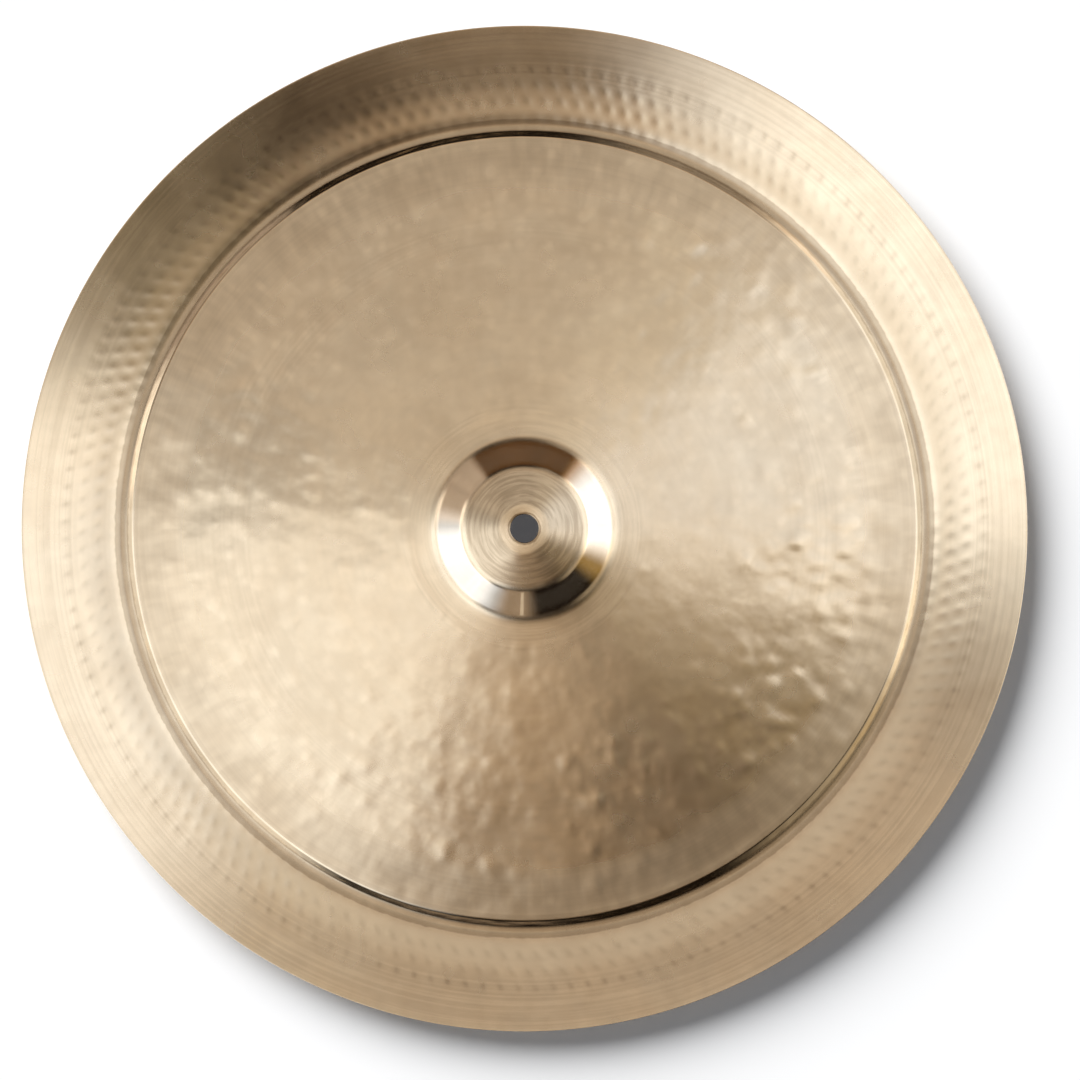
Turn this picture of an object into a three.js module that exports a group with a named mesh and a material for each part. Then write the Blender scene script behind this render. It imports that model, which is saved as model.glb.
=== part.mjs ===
// A china cymbal: one disc of cast bronze, drawn up into a conical flat-topped bell,
// spread into a gently crowned bow, and turned up again past a narrow crease into a wide flange.
// It lies on its crease with the bell up. +Z is the cymbal's axis, and z = 0 is the face it lies on.
import * as THREE from 'three';

// Radii from the axis, in millimetres, from the hole outwards
const holeRadius = 6.35;
const landRadius = 11;
const shoulderRadius = 27.5;
const footRadius = 41;
const crownRadius = 108;
const lipRadius = 174.8;
const stepRadius = 179.4;
const creaseInnerRadius = 182.6;
const creaseOuterRadius = 185.4;
const rootRadius = 189.8;
const heelRadius = 200;
const rimRadius = 228.6;

// Heights that each stretch of the wall gains, in millimetres, from the crease towards the hole
const stepHeight = 2.2;
const lipHeight = 0.3;
const outerBowHeight = 10;
const innerBowHeight = 5.3;
const bellWallHeight = 12.5;
const bellTopHeight = 3.2;

// Heights that the wall gains from the crease out to the rim
const rootHeight = 1.75;
const heelHeight = 2.5;
const flangeHeight = 12.2;

// Radii of the bends, measured on the middle of the wall
const landBend = 9;
const shoulderBend = 5;
const footBend = 7;
const crownBend = 1100;
const lipBend = 24;
const stepBend = 1.5;
const creaseBend = 1.3;
const rootBend = 10;
const heelBend = 60;

// Thickness of the bronze: heaviest at the bell, thinnest at the rim
const holeGauge = 1.25;
const footGauge = 1.05;
const crownGauge = 0.85;
const creaseGauge = 0.9;
const rimGauge = 0.72;

// Facets
const roundSegments = 96;
const gentleBendSteps = 1;
const bendSteps = 3;
const crownSteps = 5;
const heelSteps = 2;

// A bend takes at most this share of the straight run on either side of its corner.
const bendRunShare = 0.47;

// The corners of the wall's middle line, from the hole to the rim. Heights are summed from the crease.
function wallCorners() {
  const creaseHeight = creaseGauge / 2;
  const stepTop = creaseHeight + stepHeight;
  const lipTop = stepTop + lipHeight;
  const crownTop = lipTop + outerBowHeight;
  const footTop = crownTop + innerBowHeight;
  const shoulderTop = footTop + bellWallHeight;
  const landTop = shoulderTop + bellTopHeight;
  const rootTop = creaseHeight + rootHeight;
  const heelTop = rootTop + heelHeight;
  const rimTop = heelTop + flangeHeight;
  return [
    { radius: holeRadius, height: landTop, gauge: holeGauge },
    { radius: landRadius, height: landTop, gauge: holeGauge, bend: landBend, steps: gentleBendSteps },
    { radius: shoulderRadius, height: shoulderTop, gauge: holeGauge, bend: shoulderBend, steps: bendSteps },
    { radius: footRadius, height: footTop, gauge: footGauge, bend: footBend, steps: bendSteps },
    { radius: crownRadius, height: crownTop, gauge: crownGauge, bend: crownBend, steps: crownSteps },
    { radius: lipRadius, height: lipTop, gauge: crownGauge, bend: lipBend, steps: gentleBendSteps },
    { radius: stepRadius, height: stepTop, gauge: crownGauge, bend: stepBend, steps: gentleBendSteps },
    { radius: creaseInnerRadius, height: creaseHeight, gauge: creaseGauge, bend: creaseBend, steps: gentleBendSteps },
    { radius: creaseOuterRadius, height: creaseHeight, gauge: creaseGauge, bend: creaseBend, steps: gentleBendSteps },
    { radius: rootRadius, height: rootTop, gauge: creaseGauge, bend: rootBend, steps: gentleBendSteps },
    { radius: heelRadius, height: heelTop, gauge: creaseGauge, bend: heelBend, steps: heelSteps },
    { radius: rimRadius, height: rimTop, gauge: rimGauge },
  ];
}

const pointOf = (corner) => new THREE.Vector2(corner.radius, corner.height);

// The normal of a stretch of wall, on the side that the bell stands up from
const upperNormal = (direction) => new THREE.Vector2(-direction.y, direction.x);

// A round bend at a corner: stations along an arc that leaves both straight runs smoothly
function bendStations(before, corner, after) {
  const at = pointOf(corner);
  const inRun = at.clone().sub(pointOf(before));
  const outRun = pointOf(after).sub(at);
  const inDirection = inRun.clone().normalize();
  const outDirection = outRun.clone().normalize();
  const turn = inDirection.angleTo(outDirection);
  const tangent = Math.tan(turn / 2);
  const longestTangent = bendRunShare * Math.min(inRun.length(), outRun.length());
  const tangentLength = Math.min(corner.bend * tangent, longestTangent);
  const side = Math.sign(inDirection.cross(outDirection));
  const start = at.clone().addScaledVector(inDirection, -tangentLength);
  const centre = start.clone().addScaledVector(upperNormal(inDirection), (side * tangentLength) / tangent);
  const stations = [];
  for (let step = 0; step <= corner.steps; step += 1) {
    const angle = (side * turn * step) / corner.steps;
    const point = start.clone().rotateAround(centre, angle);
    const normal = upperNormal(inDirection).rotateAround(new THREE.Vector2(), angle);
    stations.push({ point, normal, gauge: corner.gauge });
  }
  return stations;
}

// Where the wall ends, at the hole and at the rim, it is cut parallel to the axis.
function cutStation(end, neighbour) {
  const direction = pointOf(end).sub(pointOf(neighbour)).normalize();
  return { point: pointOf(end), normal: new THREE.Vector2(0, 1), gauge: end.gauge / Math.abs(direction.x) };
}

// Stations of the whole middle line, each with its point, its normal and the wall's thickness there
function wallStations(corners) {
  const stations = [cutStation(corners[0], corners[1])];
  for (let index = 1; index < corners.length - 1; index += 1) {
    stations.push(...bendStations(corners[index - 1], corners[index], corners[index + 1]));
  }
  stations.push(cutStation(corners[corners.length - 1], corners[corners.length - 2]));
  return stations;
}

// The closed outline of the wall: out along its lower face, round the rim and back along its upper face
function wallOutline(stations) {
  const face = (share) => stations.map(({ point, normal, gauge }) => (
    point.clone().addScaledVector(normal, share * gauge)
  ));
  const lower = face(-0.5);
  const upper = face(0.5).reverse();
  return [...lower, ...upper, lower[0].clone()];
}

// The whole cymbal is one turned wall of bronze.
function makeCymbal() {
  const geometry = new THREE.LatheGeometry(wallOutline(wallStations(wallCorners())), roundSegments);
  geometry.rotateX(Math.PI / 2);
  const bronze = new THREE.MeshStandardMaterial({ color: 0xc9a878, roughness: 0.28, metalness: 1 });
  const cymbal = new THREE.Mesh(geometry, bronze);
  cymbal.name = 'cymbal';
  return cymbal;
}

const chinaCymbal = new THREE.Group();
chinaCymbal.name = 'china_cymbal';
chinaCymbal.add(makeCymbal());

export default chinaCymbal;
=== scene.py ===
import math
import bpy
import bmesh
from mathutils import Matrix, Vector


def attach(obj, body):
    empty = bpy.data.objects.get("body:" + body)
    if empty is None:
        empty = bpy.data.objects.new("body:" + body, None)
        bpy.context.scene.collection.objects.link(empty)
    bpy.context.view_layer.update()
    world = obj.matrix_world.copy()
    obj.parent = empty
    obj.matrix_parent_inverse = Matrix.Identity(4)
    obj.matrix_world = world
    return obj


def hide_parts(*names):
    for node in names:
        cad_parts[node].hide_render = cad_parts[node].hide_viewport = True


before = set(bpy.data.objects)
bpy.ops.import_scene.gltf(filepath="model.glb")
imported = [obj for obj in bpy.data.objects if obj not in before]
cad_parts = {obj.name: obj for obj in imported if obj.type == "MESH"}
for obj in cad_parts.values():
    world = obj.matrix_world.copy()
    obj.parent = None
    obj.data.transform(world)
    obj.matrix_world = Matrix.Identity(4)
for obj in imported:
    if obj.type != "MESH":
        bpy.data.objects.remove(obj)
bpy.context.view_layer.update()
print("stage 1: the cymbal's frame is loaded")

fullTurn = 2 * math.pi
mm = 0.001
markScatter = 0.85      # how unevenly scattered hammer marks lie, from 0 to 1
seedStep = 0.01         # metres that one step of the seed moves the hammering by


# Node helpers, for shader trees and geometry trees alike

def plug(tree, socket, value):
    if isinstance(value, bpy.types.NodeSocket):
        tree.links.new(value, socket)
    else:
        socket.default_value = value


def makeNode(tree, kind, inputs=None, **settings):
    node = tree.nodes.new(kind)
    for name, value in settings.items():
        setattr(node, name, value)
    for name, value in (inputs or {}).items():
        plug(tree, node.inputs[name], value)
    return node


def calc(tree, operation, first, second=0.0, third=0.0):
    return makeNode(tree, "ShaderNodeMath", {0: first, 1: second, 2: third}, operation=operation).outputs[0]


def addUp(tree, *values):
    total = values[0]
    for value in values[1:]:
        total = calc(tree, "ADD", total, value)
    return total


def product(tree, *values):
    total = values[0]
    for value in values[1:]:
        total = calc(tree, "MULTIPLY", total, value)
    return total


# A smooth step between two values
def glide(tree, value, low, high, outLow=0.0, outHigh=1.0):
    inputs = {"Value": value, "From Min": low, "From Max": high, "To Min": outLow, "To Max": outHigh}
    return makeNode(tree, "ShaderNodeMapRange", inputs, interpolation_type="SMOOTHSTEP").outputs["Result"]


# 1 from low to high, with soft edges outside them
def between(tree, value, low, high, soft):
    rising = glide(tree, value, low - soft, low)
    falling = glide(tree, value, high, high + soft, 1.0, 0.0)
    return calc(tree, "MULTIPLY", rising, falling)


# A bell curve
def hump(tree, value, centre, width):
    offset = calc(tree, "DIVIDE", calc(tree, "SUBTRACT", value, centre), width)
    return calc(tree, "EXPONENT", product(tree, offset, offset, -1.0))


def vector(tree, x, y=0.0, z=0.0):
    return makeNode(tree, "ShaderNodeCombineXYZ", {0: x, 1: y, 2: z}).outputs[0]


def noise(tree, at, scale, detail=2.0, roughness=0.5):
    inputs = {"Vector": at, "Scale": scale, "Detail": detail, "Roughness": roughness}
    return makeNode(tree, "ShaderNodeTexNoise", inputs, noise_dimensions="3D").outputs[0]


# Scattered round marks of unequal depth, 1 in the middle of the deepest
def dimples(tree, at, scale, width):
    inputs = {"Vector": at, "Scale": scale, "Randomness": markScatter}
    node = makeNode(tree, "ShaderNodeTexVoronoi", inputs, voronoi_dimensions="3D", feature="F1")
    depth = makeNode(tree, "ShaderNodeSeparateXYZ", {0: node.outputs["Color"]}).outputs[0]
    return calc(tree, "MULTIPLY", hump(tree, node.outputs["Distance"], 0.0, width), depth)


# Radius and angle round the axis, with the place along X and Y
def polar(tree, position):
    x, y = makeNode(tree, "ShaderNodeSeparateXYZ", {0: position}).outputs[:2]
    radius = calc(tree, "SQRT", addUp(tree, calc(tree, "MULTIPLY", x, x), calc(tree, "MULTIPLY", y, y)))
    return radius, calc(tree, "ARCTAN2", y, x), x, y


# The wall's outline, read from the frame and made smooth

wallSettings = {
    "weld": 0.001 * mm,          # points of the frame's wall closer than this are one
    "goreWeld": 0.01 * mm,       # and points of neighbouring gores closer than this
    "edgeRound": 0.22 * mm,      # rounding of the edges of the hole and of the rim
    "bendRound": 1.5 * mm,       # longest cut at a corner of the frame's outline
    "roundings": 3,
    "squareCorner": 125,         # degrees; a corner sharper than this is an edge and not a bend
    "gores": 164,                # one for each hammer mark of a row on the flange
    "zones": (                   # outer radius, ring spacing, columns in a gore above and below
        (7.2 * mm, 0.25 * mm, 1, 1),
        (46 * mm, 1.3 * mm, 1, 1),
        (100 * mm, 1.8 * mm, 2, 1),
        (176 * mm, 1.7 * mm, 3, 2),
        (178.2 * mm, 0.8 * mm, 3, 2),
        (183.4 * mm, 0.45 * mm, 3, 1),
        (192 * mm, 0.8 * mm, 4, 2),
        (213 * mm, 1.3 * mm, 6, 3),
        (227.8 * mm, 2.6 * mm, 3, 2),
        (230 * mm, 0.25 * mm, 3, 2),
    ),
    "underSpacing": 2.2,         # rings on the lower face lie this many times farther apart
}


# The wall's section at azimuth 0: out along the lower face and back along the upper one
def outlineOf(cadNode):
    section = bmesh.new()
    section.from_mesh(cadNode.data)
    bmesh.ops.remove_doubles(section, verts=section.verts, dist=wallSettings["weld"])
    flat = wallSettings["weld"]
    onPlane = {v for v in section.verts if abs(v.co.y) < flat and v.co.x > 0}
    start = min(onPlane, key=lambda v: (round(v.co.x / flat), v.co.z))
    walked = [start]
    while True:
        around = [e.other_vert(walked[-1]) for e in walked[-1].link_edges]
        ahead = [v for v in around if v in onPlane and v not in walked]
        if not ahead:
            break
        walked.append(max(ahead, key=lambda v: v.co.x))
    points = [Vector((v.co.x, v.co.z)) for v in walked]
    section.free()
    return points


# Cuts every corner of a closed outline a few times, and a square corner only a little
def rounded(points):
    squareCorner = math.radians(wallSettings["squareCorner"])
    cut = {"edge": wallSettings["edgeRound"], "bend": wallSettings["bendRound"]}
    for _ in range(wallSettings["roundings"]):
        smoother = []
        for index, at in enumerate(points):
            back = points[index - 1] - at
            ahead = points[(index + 1) % len(points)] - at
            square = back.angle(ahead) < squareCorner
            reach = cut["edge" if square else "bend"]
            for arm in (back, ahead):
                smoother.append(at + arm.normalized() * min(arm.length / 4, reach))
        points = smoother
        cut = {kind: length / 2 for kind, length in cut.items()}
    return points


def zoneAt(radius):
    return next(zone for zone in wallSettings["zones"] if radius < zone[0])


# Rings spaced along the outline, each with its columns in a gore
def ringsAlong(points):
    turnAt = max(range(len(points)), key=lambda index: points[index].x)
    rings, sinceLast = [], 1.0
    for index, at in enumerate(points):
        ahead = points[(index + 1) % len(points)]
        under = index < turnAt
        spacing, above, below = zoneAt(at.x)[1:]
        wide = spacing * (wallSettings["underSpacing"] if under else 1.0)
        length = (ahead - at).length
        walked = 0.0
        while sinceLast + (length - walked) >= wide:
            walked += max(wide - sinceLast, 0.0)
            sinceLast = 0.0
            rings.append((at.lerp(ahead, walked / length), below if under else above))
        sinceLast += length - walked
    return rings


# Faces between two rings of one gore, whose counts of columns may differ
def stitch(mesh, inner, outer):
    near, far = len(inner) - 1, len(outer) - 1
    if near == far:
        for column in range(near):
            mesh.faces.new((inner[column], inner[column + 1], outer[column + 1], outer[column]))
        return
    i = j = 0
    while i < near or j < far:
        if i < near and (j == far or (i + 1) / near <= (j + 1) / far):
            mesh.faces.new((inner[i], inner[i + 1], outer[j]))
            i += 1
        else:
            mesh.faces.new((inner[i], outer[j + 1], outer[j]))
            j += 1


# One gore of the wall, between two planes through the axis
def makeGore(rings):
    width = fullTurn / wallSettings["gores"]
    mesh = bmesh.new()
    rows = []
    for place, columns in rings:
        angles = [width * column / columns for column in range(columns + 1)]
        spots = [(place.x * math.cos(angle), place.x * math.sin(angle), place.y) for angle in angles]
        rows.append([mesh.verts.new(spot) for spot in spots])
    for index, row in enumerate(rows):
        stitch(mesh, row, rows[(index + 1) % len(rows)])
    data = bpy.data.meshes.new("gore")
    mesh.to_mesh(data)
    mesh.free()
    gore = bpy.data.objects.new("gore", data)
    bpy.context.scene.collection.objects.link(gore)
    return gore


# Hammering, as a Geometry Nodes tree that turns the gore into the whole wall

hammerSettings = {
    "Gores": wallSettings["gores"],
    "Seed": 7.3,
    "Peen size": 11.5 * mm,          # spacing of the bow's hammer marks
    "Peen width": 0.34,              # a mark's half width, as a share of that spacing
    "Peen depth": 0.25 * mm,
    "Small peen size": 7 * mm,       # smaller marks between them
    "Small peen depth": 0.1 * mm,
    "Ripple size": 15 * mm,
    "Ripple depth": 0.44 * mm,
    "Swell size": 62 * mm,
    "Swell depth": 1.0 * mm,
    "Edge peen width": 3.4 * mm,     # the long marks just inside the lip
    "Edge peen length": 11 * mm,
    "Edge peen fill": 0.4,           # half width of such a mark, as a share of its own place
    "Edge peen depth": 0.12 * mm,
    "Row depth": 0.1 * mm,           # the rows of marks on the flange
    "Root depth": 0.08 * mm,         # the rope-like marks where the flange starts
    "Flange swell size": 34 * mm,
    "Flange swell depth": 0.14 * mm,
    "Shoulder depth": 0.1 * mm,      # how far hammering has rolled the shoulder above the step
    "Step steepness": -0.08,         # how much steeper blows make the step's middle, or flatter below 0
    "Step wander size": 7 * mm,
    "Step wander": 0.32 * mm,
    "Step blows": 109,               # blows round the step, which make it uneven
}
wallPlaces = {                       # radii that the marks follow, from the photograph's rings
    "bowStart": 54 * mm, "bowEnd": 174.5 * mm, "bowSoft": 5 * mm,
    "innerBow": 85 * mm, "outerBow": 120 * mm,           # hammered more lightly inside than outside
    "edgePeen": 164.5 * mm, "edgePeenReach": 8 * mm,
    "shoulderStart": 175.8 * mm, "shoulderEnd": 179.4 * mm,
    "step": 181.3 * mm, "stepReach": 0.9 * mm, "stepEnd": 181.9 * mm,
    "restStart": 182.9 * mm, "restEnd": 185.4 * mm, "restSoft": 0.6 * mm,
    "flangeStart": 190 * mm, "flangeEnd": 226 * mm, "flangeSoft": 2 * mm,
}
noiseShifts = {                      # metres that each noise is moved by, so that no two look alike
    "bowPatches": 0.31, "ripples": 0.12, "swells": 0.55, "rowPatches": 0.2, "flangeSwells": 0.4,
    "blows": 0.65, "wander": 0.8,
}
unevenness = {                       # size of the patches, half the noise's range, least and most strength
    "bowPatches": (70 * mm, 0.16, 0.6, 1.2),
    "rowPatches": (48 * mm, 0.15, 0.6, 1.2),
    "bow": (0.65, 1.2),              # strength of the marks inside and outside
}
stepBlows = {
    "driftSize": 30 * mm, "drift": 14.0,                 # how far the even beat of the blows drifts
    "patchSize": 16 * mm, "beat": 0.12,                  # the beat's share against uneven patches
    "range": 0.2, "least": 0.3, "most": 1.7,
}
markRows = {                         # radius, radial reach, slant in turns a millimetre, sharpness, phase
    "root": (188.2 * mm, 2.1 * mm, -0.05, 1.0, 4.2),
    "rows": (
        (195.3 * mm, 2.1 * mm, -0.07, 1.8, 0.4),
        (202.4 * mm, 2.1 * mm, -0.07, 2.2, -2.7),
        (209.5 * mm, 2.1 * mm, -0.03, 2.6, -4.9),
    ),
    "ticks": (209.5 * mm, 1.5 * mm, -0.03, 4.0, -4.9),   # the painted shade at the bottoms of the outer row's marks
    "waver": 2.0, "waverSize": 30 * mm, "waverLayer": 0.9,
}


# One ring of hammer marks, 1 in the middle of each
def marksOf(tree, place, row):
    radius, angle, x, y = place
    rowRadius, reach, slant, sharpness, phase = row
    fromRow = calc(tree, "SUBTRACT", radius, rowRadius)
    lean = calc(tree, "MULTIPLY", fromRow, slant * fullTurn / mm)
    waver = noise(tree, vector(tree, x, y, markRows["waverLayer"]), 1 / markRows["waverSize"], 1.0)
    turns = calc(tree, "MULTIPLY_ADD", angle, wallSettings["gores"], phase)
    swing = calc(tree, "COSINE", addUp(tree, turns, lean, product(tree, waver, markRows["waver"])))
    comb = calc(tree, "POWER", calc(tree, "MULTIPLY_ADD", swing, 0.5, 0.5), sharpness)
    return calc(tree, "MULTIPLY", comb, hump(tree, radius, rowRadius, reach))


def hammeredTree(finish):
    tree = bpy.data.node_groups.new("turnAndHammer", "GeometryNodeTree")
    tree.interface.new_socket("Geometry", in_out="INPUT", socket_type="NodeSocketGeometry")
    tree.interface.new_socket("Geometry", in_out="OUTPUT", socket_type="NodeSocketGeometry")
    for name, value in hammerSettings.items():
        kind = "NodeSocketInt" if isinstance(value, int) else "NodeSocketFloat"
        socket = tree.interface.new_socket(name, in_out="INPUT", socket_type=kind)
        socket.default_value = value
    inputs = makeNode(tree, "NodeGroupInput").outputs
    places = wallPlaces

    # The gores round the axis, welded into one closed wall
    points = makeNode(tree, "GeometryNodePoints", {"Count": inputs["Gores"]}).outputs[0]
    index = makeNode(tree, "GeometryNodeInputIndex").outputs[0]
    turn = calc(tree, "MULTIPLY", index, calc(tree, "DIVIDE", fullTurn, inputs["Gores"]))
    spots = {"Points": points, "Instance": inputs["Geometry"], "Rotation": vector(tree, 0.0, 0.0, turn)}
    copies = makeNode(tree, "GeometryNodeInstanceOnPoints", spots).outputs[0]
    loose = makeNode(tree, "GeometryNodeRealizeInstances", {0: copies}).outputs[0]
    weld = {"Geometry": loose, "Distance": wallSettings["goreWeld"]}
    wall = makeNode(tree, "GeometryNodeMergeByDistance", weld).outputs[0]

    position = makeNode(tree, "GeometryNodeInputPosition").outputs[0]
    place = polar(tree, position)
    radius, angle, x, y = place
    layer = calc(tree, "MULTIPLY", inputs["Seed"], seedStep)
    across = vector(tree, x, y, layer)

    def grain(size, name, detail=1.0):  # soft noise from -0.5 to 0.5, with bumps of about that size
        moved = vector(tree, calc(tree, "ADD", x, noiseShifts[name]), y, layer)
        return calc(tree, "SUBTRACT", noise(tree, moved, calc(tree, "DIVIDE", 1.0, size), detail), 0.5)

    def patches(name):  # places where the hammer fell harder
        size, reach, least, most = unevenness[name]
        return glide(tree, grain(size, name), -reach, reach, least, most)

    def marksAcross(size):  # scattered marks, as many to a metre as fit
        return dimples(tree, across, calc(tree, "DIVIDE", 1.0, inputs[size]), inputs["Peen width"])

    # The bow: overlapping round marks, stronger in some places than in others
    bow = between(tree, radius, places["bowStart"], places["bowEnd"], places["bowSoft"])
    outwards = glide(tree, radius, places["innerBow"], places["outerBow"], *unevenness["bow"])
    strength = product(tree, patches("bowPatches"), outwards)
    dents = addUp(tree, product(tree, marksAcross("Peen size"), inputs["Peen depth"]),
                  product(tree, marksAcross("Small peen size"), inputs["Small peen depth"]))
    peens = product(tree, dents, strength, bow)
    rippled = grain(inputs["Ripple size"], "ripples", 2.0)
    ripples = product(tree, rippled, inputs["Ripple depth"], strength, bow)
    swells = product(tree, grain(inputs["Swell size"], "swells"), inputs["Swell depth"], bow)

    # Long marks side by side just inside the lip
    belt = hump(tree, radius, places["edgePeen"], places["edgePeenReach"])
    arc = calc(tree, "MULTIPLY", angle, places["edgePeen"])
    edgeAt = vector(tree, calc(tree, "DIVIDE", arc, inputs["Edge peen width"]),
                    calc(tree, "DIVIDE", radius, inputs["Edge peen length"]), inputs["Seed"])
    edgeMarks = dimples(tree, edgeAt, 1.0, inputs["Edge peen fill"])
    edgePeens = product(tree, edgeMarks, inputs["Edge peen depth"], belt)

    # The flange: rows of even marks, and a twisted row at its root
    depths = patches("rowPatches")
    marks = addUp(tree, *[marksOf(tree, place, row) for row in markRows["rows"]])
    rows = product(tree, marks, inputs["Row depth"], depths, -1.0)
    rope = product(tree, marksOf(tree, place, markRows["root"]), inputs["Root depth"], depths, -1.0)
    flange = between(tree, radius, places["flangeStart"], places["flangeEnd"], places["flangeSoft"])
    flangeGrain = grain(inputs["Flange swell size"], "flangeSwells")
    flangeSwells = product(tree, flangeGrain, inputs["Flange swell depth"], flange)

    # The step above the crease wanders a little, and the crease's floor stays flat
    rolled = product(tree, glide(tree, radius, places["shoulderStart"], places["shoulderEnd"]),
                     glide(tree, radius, places["stepEnd"], places["restStart"], 1.0, 0.0))
    sunk = product(tree, rolled, inputs["Shoulder depth"], -1.0)
    nearStep = hump(tree, radius, places["step"], places["stepReach"])
    blow = stepBlows
    beat = calc(tree, "MULTIPLY", angle, inputs["Step blows"])
    drifted = calc(tree, "MULTIPLY_ADD", grain(blow["driftSize"], "blows"), blow["drift"], beat)
    swing = calc(tree, "COSINE", drifted)
    hits = calc(tree, "MULTIPLY_ADD", swing, blow["beat"], grain(blow["patchSize"], "blows"))
    blows = glide(tree, hits, -blow["range"], blow["range"], blow["least"], blow["most"])
    fromStep = calc(tree, "SUBTRACT", places["step"], radius)
    steeper = product(tree, fromStep, inputs["Step steepness"], nearStep, blows)
    wandering = grain(inputs["Step wander size"], "wander", 2.0)
    wander = product(tree, wandering, inputs["Step wander"], nearStep)
    rest = between(tree, radius, places["restStart"], places["restEnd"], places["restSoft"])
    free = calc(tree, "SUBTRACT", 1.0, rest)
    moves = (peens, ripples, swells, edgePeens, rows, rope, flangeSwells, sunk, steeper, wander)
    lift = product(tree, addUp(tree, *moves), free)
    height = makeNode(tree, "ShaderNodeSeparateXYZ", {0: position}).outputs["Z"]
    onTable = calc(tree, "MAXIMUM", lift, calc(tree, "MULTIPLY", height, -1.0))
    moved = {"Geometry": wall, "Offset": vector(tree, 0.0, 0.0, onTable)}
    struck = makeNode(tree, "GeometryNodeSetPosition", moved).outputs[0]

    smooth = makeNode(tree, "GeometryNodeSetShadeSmooth", {"Geometry": struck}).outputs[0]
    whole = makeNode(tree, "GeometryNodeRealizeInstances", {0: smooth}).outputs[0]
    coated = makeNode(tree, "GeometryNodeSetMaterial", {"Geometry": whole, "Material": finish}).outputs[0]
    makeNode(tree, "NodeGroupOutput", {0: coated})
    return tree


# The finished wall as a plain mesh
def turnAndHammer(gore, finish):
    tree = hammeredTree(finish)
    modifier = gore.modifiers.new("turnAndHammer", "NODES")
    modifier.node_group = tree
    for item in tree.interface.items_tree:
        if item.in_out == "INPUT" and item.name in hammerSettings:
            modifier[item.identifier] = hammerSettings[item.name]
    graph = bpy.context.evaluated_depsgraph_get()
    data = bpy.data.meshes.new_from_object(gore.evaluated_get(graph))
    gore.modifiers.remove(modifier)
    data.name = "hammered_bronze"
    wall = bpy.data.objects.new("hammered_bronze", data)
    bpy.context.scene.collection.objects.link(wall)
    bpy.data.objects.remove(gore)
    return wall


# Cast bronze, lathed in fine circles

bronzeSettings = {
    "bright": (0.84, 0.71, 0.53, 1.0),
    "warm": (0.80, 0.65, 0.46, 1.0),
    # the dark tone of the tarnish, and of the painted shade in the marks and the crease
    "tarnishAndShade": (0.30, 0.22, 0.14, 1.0),
    "roughness": (0.22, 0.28),
    "roughnessZones": (          # from, to, soft edge, roughness: smooth bell wall and step, dull lip
        (29.5 * mm, 38.5 * mm, 2 * mm, 0.08),
        (162 * mm, 176 * mm, 9 * mm, 0.35),
        (179.3 * mm, 182 * mm, 0.5 * mm, 0.1),
    ),
    "anisotropic": 0.85,
    "grooves": 800.0,            # lathe grooves to a metre
    "grooveDrift": 1.5,          # how much a groove changes round the axis
    "grooveDepth": 0.025 * mm,
    "finePeenSize": 6 * mm,
    "finePeenDepth": 0.05 * mm,
    "lathedZones": (             # from, to, soft edge, strength of the grooves
        (11.5 * mm, 26 * mm, 1.5 * mm, 1.0),
        (6 * mm, 11.5 * mm, 1.5 * mm, 0.4),
        (40 * mm, 54 * mm, 4 * mm, 0.25),
        (128 * mm, 142 * mm, 6 * mm, 0.1),
        (160 * mm, 178 * mm, 5 * mm, 0.08),
        (208 * mm, 228.6 * mm, 5 * mm, 0.4),
    ),
    "faintGrooves": 0.08,
    "darkerRings": (            # from, to, soft edge, how far the colour goes to the dark tone
        (11.5 * mm, 26 * mm, 1 * mm, 0.2),
        (6.3 * mm, 7.2 * mm, 0.5 * mm, 0.6),
        (167 * mm, 175 * mm, 5 * mm, 0.07),
        (177.5 * mm, 181 * mm, 1 * mm, 0.12),
        # painted shade in the crease below the step, with a torn inner edge along the step
        (182 * mm, 187.3 * mm, 0.8 * mm, 0.5),
    ),
    "grooveRange": (0.68, 0.32),             # the grooves' noise, from bright to tarnished
    "grooveTarnish": 0.3,
    "mottleSizes": (8 * mm, 24 * mm),
    "mottleRange": (0.75, 1.25),
    "mottleTarnish": 0.1,
    "peenShadeAndHighlight": 0.2,                      # painted shade between the bow's hammer marks, and a painted highlight in their middles
    "peenMiddle": 0.5,                       # depth of a mark that is neither darker nor brighter
    "innerPeens": 0.4,                       # how much of this tone the inner bow has
    "markShade": 0.16,
    "tickShade": 0.08,
    "smudges": (152 * mm, 177 * mm, 8 * mm, 0.12),   # stains inside the lip: from, to, soft edge, tone
    "smudgeSize": (8 * mm, 26 * mm),                 # across and along the radius
    "smudgeRange": (0.38, 0.62), "smudgeMiddle": 0.3,
    "patchScale": 22.0,                      # soft patches to a metre, where the bronze is warmer
    "patchRange": (0.3, 0.7), "patchWarmth": 0.5,
    "tickRange": (0.35, 0.65), "tickStrength": 2.0,  # the painted shade of the ticks is darker in the warmer patches
    "smearScale": 35.0,                      # patches to a metre of a duller polish
    "smearRange": (0.3, 0.7),
    "raggedScale": 260.0,                    # how fine and how wide the edges of the darker rings are torn
    "raggedWidth": 1.4 * mm,
    "layers": {                              # the height at which each noise is sliced, in metres
        "finePeens": 0.2, "patches": 0.3, "mottle": 0.4, "ragged": 0.5, "smudges": 0.6, "smears": 0.7,
    },
}


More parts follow.
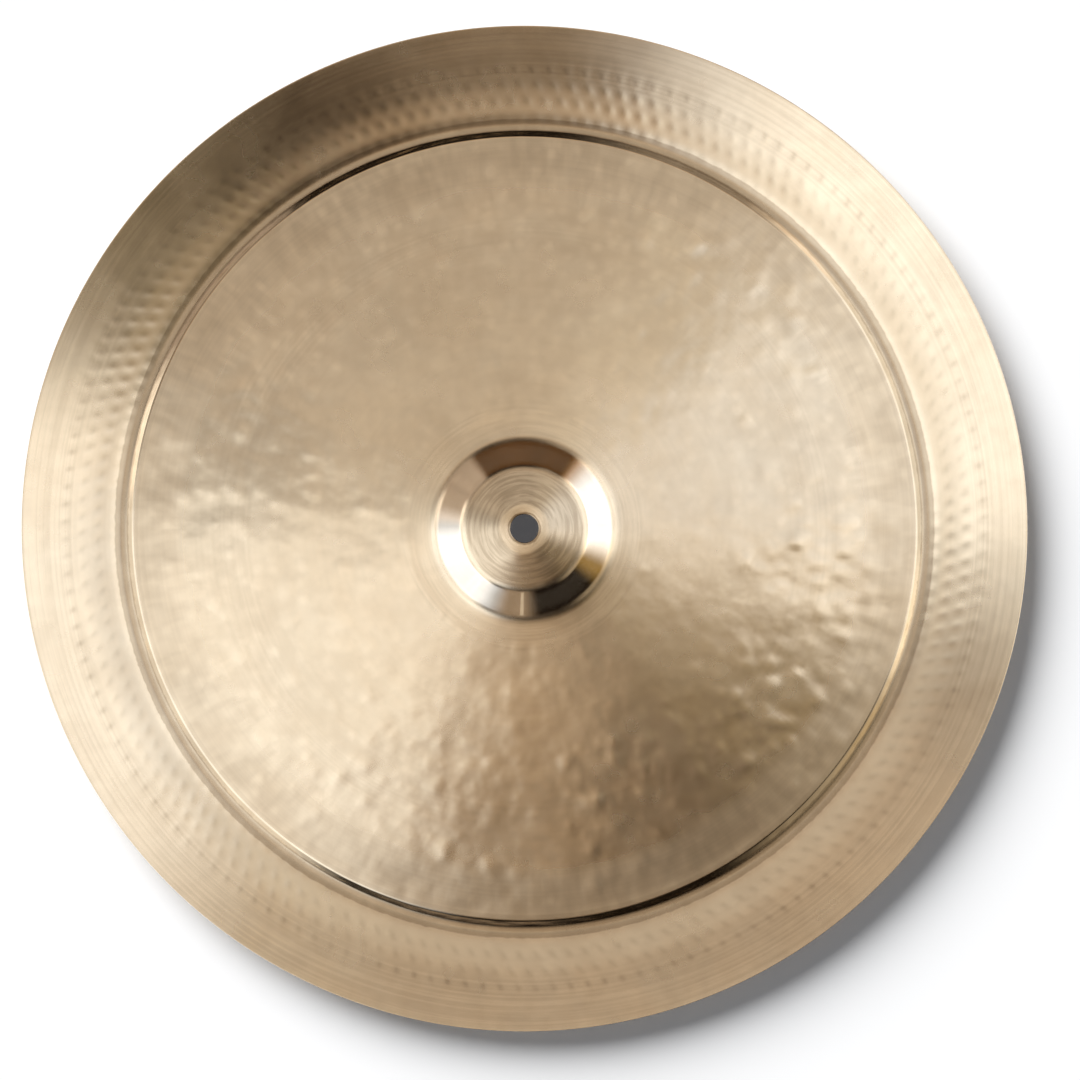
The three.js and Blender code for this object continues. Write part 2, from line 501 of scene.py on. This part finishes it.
def makeBronze():
    finish = bpy.data.materials.new("lathed_bronze")
    finish.use_nodes = True
    tree = finish.node_tree
    shader = tree.nodes["Principled BSDF"]
    settings = bronzeSettings
    place = polar(tree, makeNode(tree, "ShaderNodeTexCoord").outputs["Object"])
    radius, angle, x, y = place
    east, north = [calc(tree, "DIVIDE", along, radius) for along in (x, y)]

    def spread(name, scale, detail, *roughness):  # noise over the face, in a layer of its own
        return noise(tree, vector(tree, x, y, settings["layers"][name]), scale, detail, *roughness)

    def around(density, twist):  # noise taken here runs in rings, and changes slowly along each of them
        ring = calc(tree, "MULTIPLY", radius, density)
        return vector(tree, ring, calc(tree, "MULTIPLY", east, twist), calc(tree, "MULTIPLY", north, twist))

    def blend(share, first, second):
        node = makeNode(tree, "ShaderNodeMix", {"Factor": share}, data_type="RGBA")
        plug(tree, node.inputs[6], first)
        plug(tree, node.inputs[7], second)
        return node.outputs[2]

    # Relief: grooves that run round the axis, and small hammer marks between the large ones
    grooves = noise(tree, around(settings["grooves"], settings["grooveDrift"]), 1.0, 1.0)
    zones = addUp(tree, settings["faintGrooves"],
                  *[product(tree, between(tree, radius, low, high, soft), strength)
                    for low, high, soft, strength in settings["lathedZones"]])
    places = wallPlaces
    bow = between(tree, radius, places["bowStart"], places["bowEnd"], places["bowSoft"])
    finePeens = spread("finePeens", 1 / settings["finePeenSize"], 1.0)
    relief = addUp(tree, product(tree, grooves, zones, settings["grooveDepth"]),
                   product(tree, finePeens, bow, settings["finePeenDepth"]))
    bump = {"Height": relief, "Distance": 1.0, "Strength": 1.0}
    plug(tree, shader.inputs["Normal"], makeNode(tree, "ShaderNodeBump", bump).outputs[0])

    # Colour: warmer in soft patches, darker in the grooves and where the bronze is mottled, with painted
    # shade in the marks and in the crease, and painted highlights in the middles of the bow's hammer marks
    patches = spread("patches", settings["patchScale"], 3.0, 0.6)
    warmth = glide(tree, patches, *settings["patchRange"], 0.0, settings["patchWarmth"])
    metal = blend(warmth, settings["bright"], settings["warm"])
    torn = spread("ragged", settings["raggedScale"], 3.0, 0.6)
    ragged = calc(tree, "MULTIPLY_ADD", torn, settings["raggedWidth"], radius)
    ragged = calc(tree, "SUBTRACT", ragged, settings["raggedWidth"] / 2)
    dark = [product(tree, between(tree, ragged, low, high, soft), share)
            for low, high, soft, share in settings["darkerRings"]]
    inGrooves = glide(tree, grooves, *settings["grooveRange"])
    dark.append(product(tree, inGrooves, zones, settings["grooveTarnish"]))
    small, large = [spread("mottle", 1 / size, 2.0) for size in settings["mottleSizes"]]
    mottle = glide(tree, calc(tree, "ADD", small, large), *settings["mottleRange"])
    dark.append(product(tree, mottle, settings["mottleTarnish"]))
    # Painted shade on the ridges between the bow's hammer marks, and a painted highlight in their middles
    hammering = vector(tree, x, y, hammerSettings["Seed"] * seedStep)
    peenWidth = hammerSettings["Peen width"]
    peen = addUp(tree, *[dimples(tree, hammering, 1 / hammerSettings[size], peenWidth)
                         for size in ("Peen size", "Small peen size")])
    outer = glide(tree, radius, places["innerBow"], places["outerBow"], settings["innerPeens"], 1.0)
    ridges = calc(tree, "SUBTRACT", settings["peenMiddle"], peen)
    dark.append(product(tree, ridges, bow, outer, settings["peenShadeAndHighlight"]))
    low, high, soft, share = settings["smudges"]
    wide, long = settings["smudgeSize"]
    turned = calc(tree, "DIVIDE", calc(tree, "MULTIPLY", angle, high), wide)
    onLip = vector(tree, turned, calc(tree, "DIVIDE", radius, long), settings["layers"]["smudges"])
    smudges = glide(tree, noise(tree, onLip, 1.0, 2.0), *settings["smudgeRange"])
    smudges = calc(tree, "SUBTRACT", smudges, settings["smudgeMiddle"])
    dark.append(product(tree, smudges, between(tree, radius, low, high, soft), share))
    # Painted shade in the flange's hammer marks, standing for the shading of their relief
    dark += [product(tree, marksOf(tree, place, row), settings["markShade"]) for row in markRows["rows"]]
    # Painted shade at the bottoms of the outer row's marks, deeper in the warmer patches
    uneven = glide(tree, patches, *settings["tickRange"], 0.0, settings["tickStrength"])
    dark.append(product(tree, marksOf(tree, place, markRows["ticks"]), settings["tickShade"], uneven))
    plug(tree, shader.inputs["Base Color"], blend(addUp(tree, *dark), metal, settings["tarnishAndShade"]))

    smears = spread("smears", settings["smearScale"], 4.0, 0.6)
    smoothest, roughest = settings["roughness"]
    rough = glide(tree, smears, *settings["smearRange"], smoothest, roughest)
    for low, high, soft, level in settings["roughnessZones"]:
        change = calc(tree, "SUBTRACT", level, rough)
        rough = calc(tree, "MULTIPLY_ADD", change, between(tree, radius, low, high, soft), rough)
    plug(tree, shader.inputs["Roughness"], rough)
    shader.inputs["Metallic"].default_value = 1.0
    shader.inputs["Anisotropic"].default_value = settings["anisotropic"]
    # Highlights spread across the grooves
    plug(tree, shader.inputs["Tangent"], vector(tree, east, north))
    return finish


bronze = makeBronze()
gore = makeGore(ringsAlong(rounded(outlineOf(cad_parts["cymbal"]))))
hammered = turnAndHammer(gore, bronze)
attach(hammered, "root")
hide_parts("cymbal")
triangles = sum(len(face.vertices) - 2 for face in hammered.data.polygons)
print("stage 2: the wall is turned and hammered, with", triangles, "triangles")


# Floor, light and camera

studioSettings = {
    "floorSize": 7.0,
    "floorColour": (0.96, 0.96, 0.96, 1.0),
    "floorRoughness": 0.9,
    "floorGlow": (0.035, 0.04, 0.05, 1.0),  # only what the camera and the bronze see of the floor
    "keyAzimuth": 130.0,
    "keyElevation": 35.0,
    "keyStrength": 4.8,
    "keyAngle": 44.0,
    "soft": 0.15,                # even light on the floor
    "tentRadius": 3.0,
    "tentColour": (0.01, 0.007, 0.005),
    "folds": (2.2, 0.3),         # the cloth's folds: how many to a metre, and how much they change it
    # Each card: azimuth, half its width, soft edge, elevations from and to, soft edge, light
    "cards": (
        # Softbox at the left
        (208, 38, 29, 30, 86, 10, (1.10, 1.10, 1.09)),
        (216, 40, 16, 34, 62, 12, (0.50, 0.56, 0.66)),
        (210, 34, 30, -9, 13, 9, (1.50, 1.70, 2.10)),
        (197, 40, 14, 8, 32, 10, (1.05, 1.03, 1.00)),
        # Softbox at the right
        (14, 30, 28, 30, 82, 12, (0.95, 1.00, 1.10)),
        (14, 33, 20, 34, 61, 14, (0.55, 0.53, 0.48)),
        (14, 30, 24, -9, 13, 9, (1.60, 1.80, 2.20)),
        (14, 36, 16, 8, 32, 10, (1.00, 0.98, 0.94)),
        (56, 20, 20, 17, 36, 8, (0.35, 0.30, 0.25)),
        # Wall behind
        (104, 57, 27, 58, 90, 18, (0.53, 0.50, 0.46)),
        (103, 57, 32, 41, 62, 10, (0.54, 0.43, 0.33)),
        (58, 12, 18, 50, 90, 16, (0.14, 0.14, 0.12)),
        (154, 14, 18, 56, 90, 16, (0.08, 0.07, 0.06)),
        # The room in front
        (272, 31, 24, 60, 82, 16, (0.22, 0.15, 0.09)),
        (266, 20, 22, 46, 90, 12, (0.21, 0.17, 0.13)),
        (333, 24, 18, 62, 74, 13, (0.36, 0.26, 0.12)),
        (334, 18, 16, 16, 90, 10, (0.12, 0.11, 0.09)),
        (330, 24, 16, 12, 40, 10, (0.32, 0.27, 0.20)),
        # What stands round the table
        (151, 24, 8, -9, 32, 9, (0.50, 0.42, 0.36)),
        (88, 40, 8, -9, 14, 10, (0.10, 0.05, 0.02)),
        (337, 12, 14, -9, 22, 12, (0.34, 0.23, 0.08)),
        (47, 6, 10, -9, 22, 12, (0.25, 0.12, 0.00)),
        (262, 12, 16, -9, 21, 12, (0.35, 0.28, 0.22)),
        (268, 1.2, 1, -6, 12, 4, (0.30, 0.30, 0.28)),
    ),
    "crown": (82, 5, (0.65, 0.52, 0.38)),  # elevation, soft edge, light of the tent's crown
}


def addMesh(name, mesh):
    data = bpy.data.meshes.new(name)
    mesh.to_mesh(data)
    mesh.free()
    piece = bpy.data.objects.new(name, data)
    bpy.context.scene.collection.objects.link(piece)
    return piece


def makeFloor():
    mesh = bmesh.new()
    bmesh.ops.create_grid(mesh, x_segments=1, y_segments=1, size=studioSettings["floorSize"] / 2)
    floor = addMesh("floor", mesh)
    paper = bpy.data.materials.new("paper")
    paper.use_nodes = True
    tree = paper.node_tree
    shader = tree.nodes["Principled BSDF"]
    shader.inputs["Base Color"].default_value = studioSettings["floorColour"]
    shader.inputs["Roughness"].default_value = studioSettings["floorRoughness"]
    shader.inputs["Specular IOR Level"].default_value = 0.0
    shader.inputs["Emission Color"].default_value = studioSettings["floorGlow"]
    path = makeNode(tree, "ShaderNodeLightPath").outputs
    seen = addUp(tree, path["Is Camera Ray"], path["Is Glossy Ray"], path["Is Transmission Ray"])
    plug(tree, shader.inputs["Emission Strength"], calc(tree, "MINIMUM", seen, 1.0))
    floor.data.materials.append(paper)


# A dome round the table, whose cards the bronze mirrors
def makeTent():
    settings = studioSettings
    mesh = bmesh.new()
    bmesh.ops.create_uvsphere(mesh, u_segments=48, v_segments=32, radius=settings["tentRadius"])
    tent = addMesh("light_tent", mesh)
    cloth = bpy.data.materials.new("tent_cloth")
    cloth.use_nodes = True
    tree = cloth.node_tree
    tree.nodes.clear()
    onTent = makeNode(tree, "ShaderNodeTexCoord").outputs["Object"]
    radius, angle = polar(tree, onTent)[:2]
    up = makeNode(tree, "ShaderNodeSeparateXYZ", {0: onTent}).outputs["Z"]
    degree = fullTurn / 360
    azimuth = calc(tree, "DIVIDE", angle, degree)
    elevation = calc(tree, "DIVIDE", calc(tree, "ARCTAN2", up, radius), degree)

    def shine(share, colour, rest):
        inputs = {0: colour, 1: share, 2: rest}
        return makeNode(tree, "ShaderNodeVectorMath", inputs, operation="MULTIPLY_ADD").outputs[0]

    def panel(middle, half, edge, low, high, rise):  # 1 on the panel, with soft edges
        away = calc(tree, "WRAP", calc(tree, "SUBTRACT", azimuth, middle), 180.0, -180.0)
        across = between(tree, away, -half + edge / 2, half - edge / 2, edge)
        upwards = between(tree, elevation, low + rise / 2, high - rise / 2, rise)
        return calc(tree, "MULTIPLY", across, upwards)

    colour = settings["tentColour"]
    for *place, light in settings["cards"]:
        colour = shine(panel(*place), light, colour)
    crownStart, crownSoft, crownLight = settings["crown"]
    crown = glide(tree, elevation, crownStart - crownSoft, crownStart + crownSoft)
    colour = shine(crown, crownLight, colour)
    density, change = settings["folds"]
    folds = calc(tree, "SUBTRACT", noise(tree, onTent, density, 2.0), 0.5)
    strength = calc(tree, "MULTIPLY_ADD", folds, 2 * change, 1.0)
    glow = makeNode(tree, "ShaderNodeEmission", {"Color": colour, "Strength": strength}).outputs[0]
    makeNode(tree, "ShaderNodeOutputMaterial", {"Surface": glow})
    cloth.cycles.emission_sampling = "NONE"  # the bronze finds the cards by mirroring them
    tent.data.materials.append(cloth)
    tent.visible_camera = False
    tent.visible_diffuse = False
    tent.visible_shadow = False


# Casts the soft shadow on the floor, and the bronze doesn't mirror it
def makeKey():
    data = bpy.data.lights.new("key", "SUN")
    key = bpy.data.objects.new("key", data)
    bpy.context.scene.collection.objects.link(key)
    azimuth = math.radians(studioSettings["keyAzimuth"])
    elevation = math.radians(studioSettings["keyElevation"])
    level = math.cos(elevation)
    direction = Vector((math.cos(azimuth) * level, math.sin(azimuth) * level, math.sin(elevation)))
    key.location = direction * studioSettings["tentRadius"] / 2
    key.rotation_euler = direction.to_track_quat("Z", "Y").to_euler()
    key.data.energy = studioSettings["keyStrength"]
    key.data.angle = math.radians(studioSettings["keyAngle"])
    key.visible_glossy = False


# White to the eye, and a soft even light on the floor
def makeWorld():
    world = bpy.data.worlds.new("studio")
    world.use_nodes = True
    bpy.context.scene.world = world
    tree = world.node_tree
    path = makeNode(tree, "ShaderNodeLightPath").outputs
    seen = addUp(tree, path["Is Camera Ray"], path["Is Glossy Ray"], path["Is Transmission Ray"])
    strength = calc(tree, "MAXIMUM", calc(tree, "MINIMUM", seen, 1.0), studioSettings["soft"])
    background = tree.nodes["Background"]
    background.inputs["Color"].default_value = (1, 1, 1, 1)
    plug(tree, background.inputs["Strength"], strength)


cameraSettings = {
    "imagePixels": 1080,
    "pixel": 0.4545 * mm,            # size of a pixel at the height of the rim
    "rimHeight": 17 * mm,
    "rimCentre": (524.5, 528.6),     # pixel of the rim's centre in the photograph
    "height": 2.0,
    "sensor": 36.0,
}


def makeCamera():
    settings = cameraSettings
    middle = settings["imagePixels"] / 2
    fromRim = settings["height"] - settings["rimHeight"]
    data = bpy.data.cameras.new("camera")
    data.sensor_width = settings["sensor"]
    data.lens = data.sensor_width * fromRim / (settings["imagePixels"] * settings["pixel"])
    camera = bpy.data.objects.new("camera", data)
    bpy.context.scene.collection.objects.link(camera)
    across, down = settings["rimCentre"]
    pixel = settings["pixel"]
    camera.location = ((middle - across) * pixel, (down - middle) * pixel, settings["height"])
    bpy.context.scene.camera = camera


makeFloor()
makeTent()
makeKey()
makeWorld()
makeCamera()
bpy.context.scene.view_settings.view_transform = "Standard"
print("stage 3: floor, light and camera are in place")
